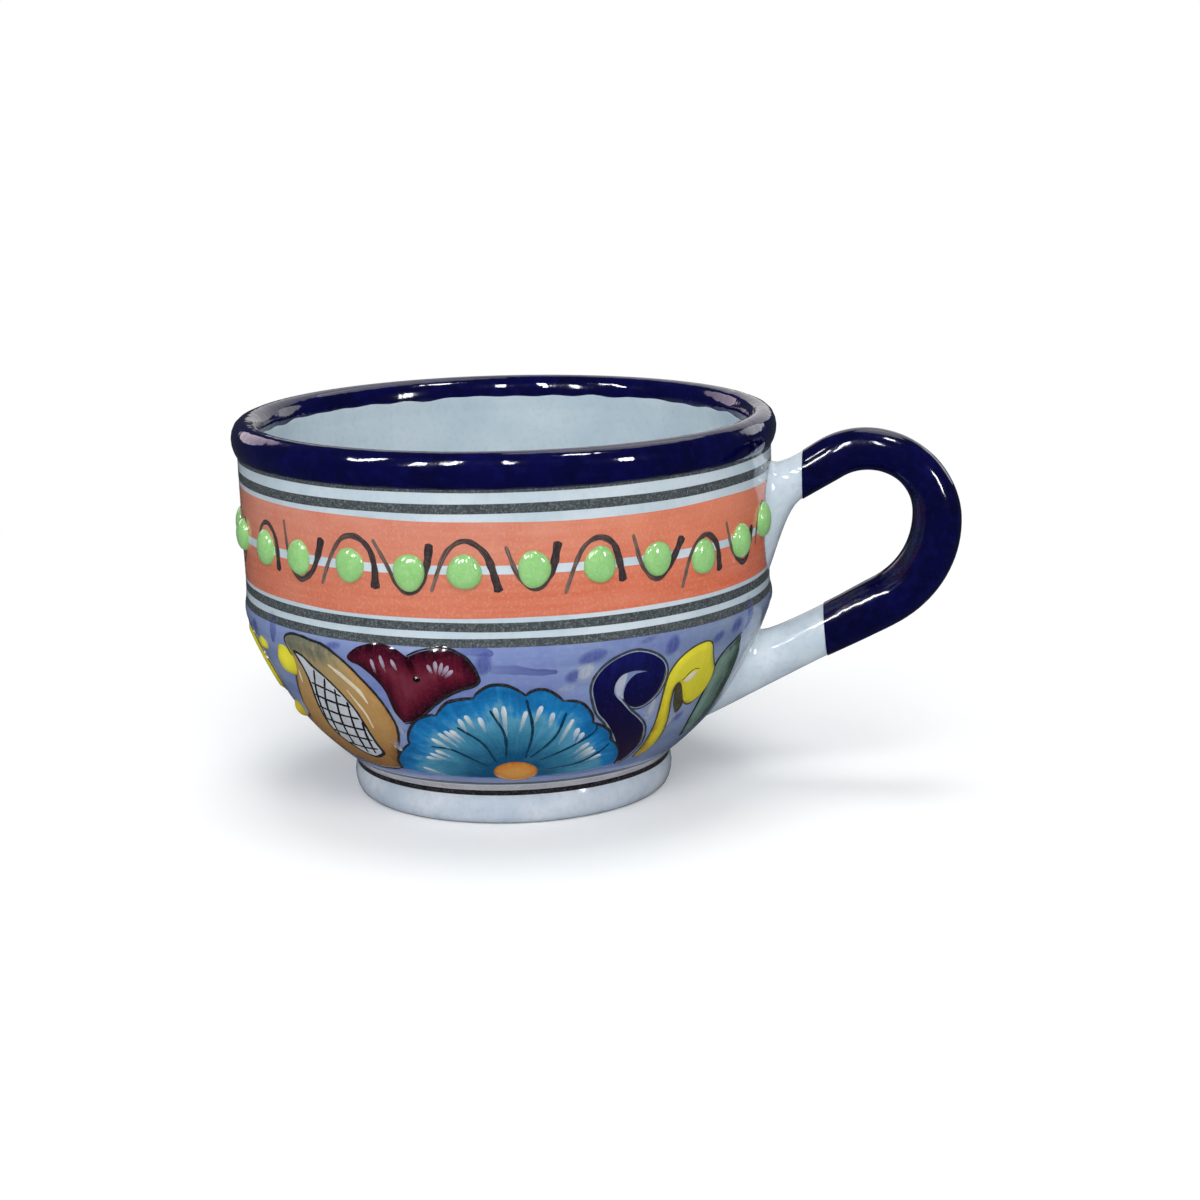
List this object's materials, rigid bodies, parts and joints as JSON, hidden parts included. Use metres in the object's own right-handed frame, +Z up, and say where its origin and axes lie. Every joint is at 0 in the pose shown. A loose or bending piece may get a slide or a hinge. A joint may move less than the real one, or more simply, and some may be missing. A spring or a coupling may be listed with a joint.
{
  "type": "mug",
  "caption": "Wide low clay mug with a rolled rim, a turned foot ring, a looped coil handle, banded glaze and raised enamel ornament.",
  "frame": {"origin": "centre of the foot ring, on the plane that the mug stands on", "axes": "+Z up the bowl's axis, +X from the axis towards the handle, -Y towards the front frieze"},
  "size_m": [0.1495, 0.112, 0.0792],
  "materials": {
    "bowl": "glossy tin-white glaze",
    "foot_ring": "glossy tin-white glaze",
    "rim_roll": "glossy cobalt glaze",
    "handle": "glossy cobalt glaze",
    "slip": "glossy tin-white glaze over smeared slip",
    "orange_bands": "glossy brushed orange glaze",
    "dark_stripes": "grainy dark grey lines under gloss",
    "lavender_ground": "glossy brushed lavender wash",
    "foot_lines": "glossy dark lines",
    "green_beads": "glossy raised enamel",
    "brushed_arcs": "thin dark brush strokes under gloss",
    "flower_petals": "glossy shaded blue enamel",
    "flower_eyes": "glossy orange enamel",
    "hearts": "glossy maroon enamel",
    "blue_scrolls": "glossy navy enamel",
    "yellow_curls": "glossy yellow enamel",
    "green_leaves": "glossy grey-green enamel",
    "pod_husks": "glossy ochre enamel",
    "pod_panels": "glossy white enamel",
    "pod_lattices": "thin black brush lines under gloss"
  },
  "bodies": {
    "root": {"bowl": "bowl", "foot_ring": "foot_ring", "rim_roll": "rim_roll", "handle": "handle", "upper_slip_joint": "slip", "lower_slip_joint": "slip", "orange_bands": "orange_bands", "dark_stripes": "dark_stripes", "lavender_ground": "lavender_ground", "foot_lines": "foot_lines", "green_beads": "green_beads", "brushed_arcs": "brushed_arcs", "flower_petals": "flower_petals", "flower_eyes": "flower_eyes", "hearts": "hearts", "blue_scrolls": "blue_scrolls", "yellow_curls": "yellow_curls", "green_leaves": "green_leaves", "pod_husks": "pod_husks", "pod_panels": "pod_panels", "pod_lattices": "pod_lattices"}
  },
  "joints": []
}
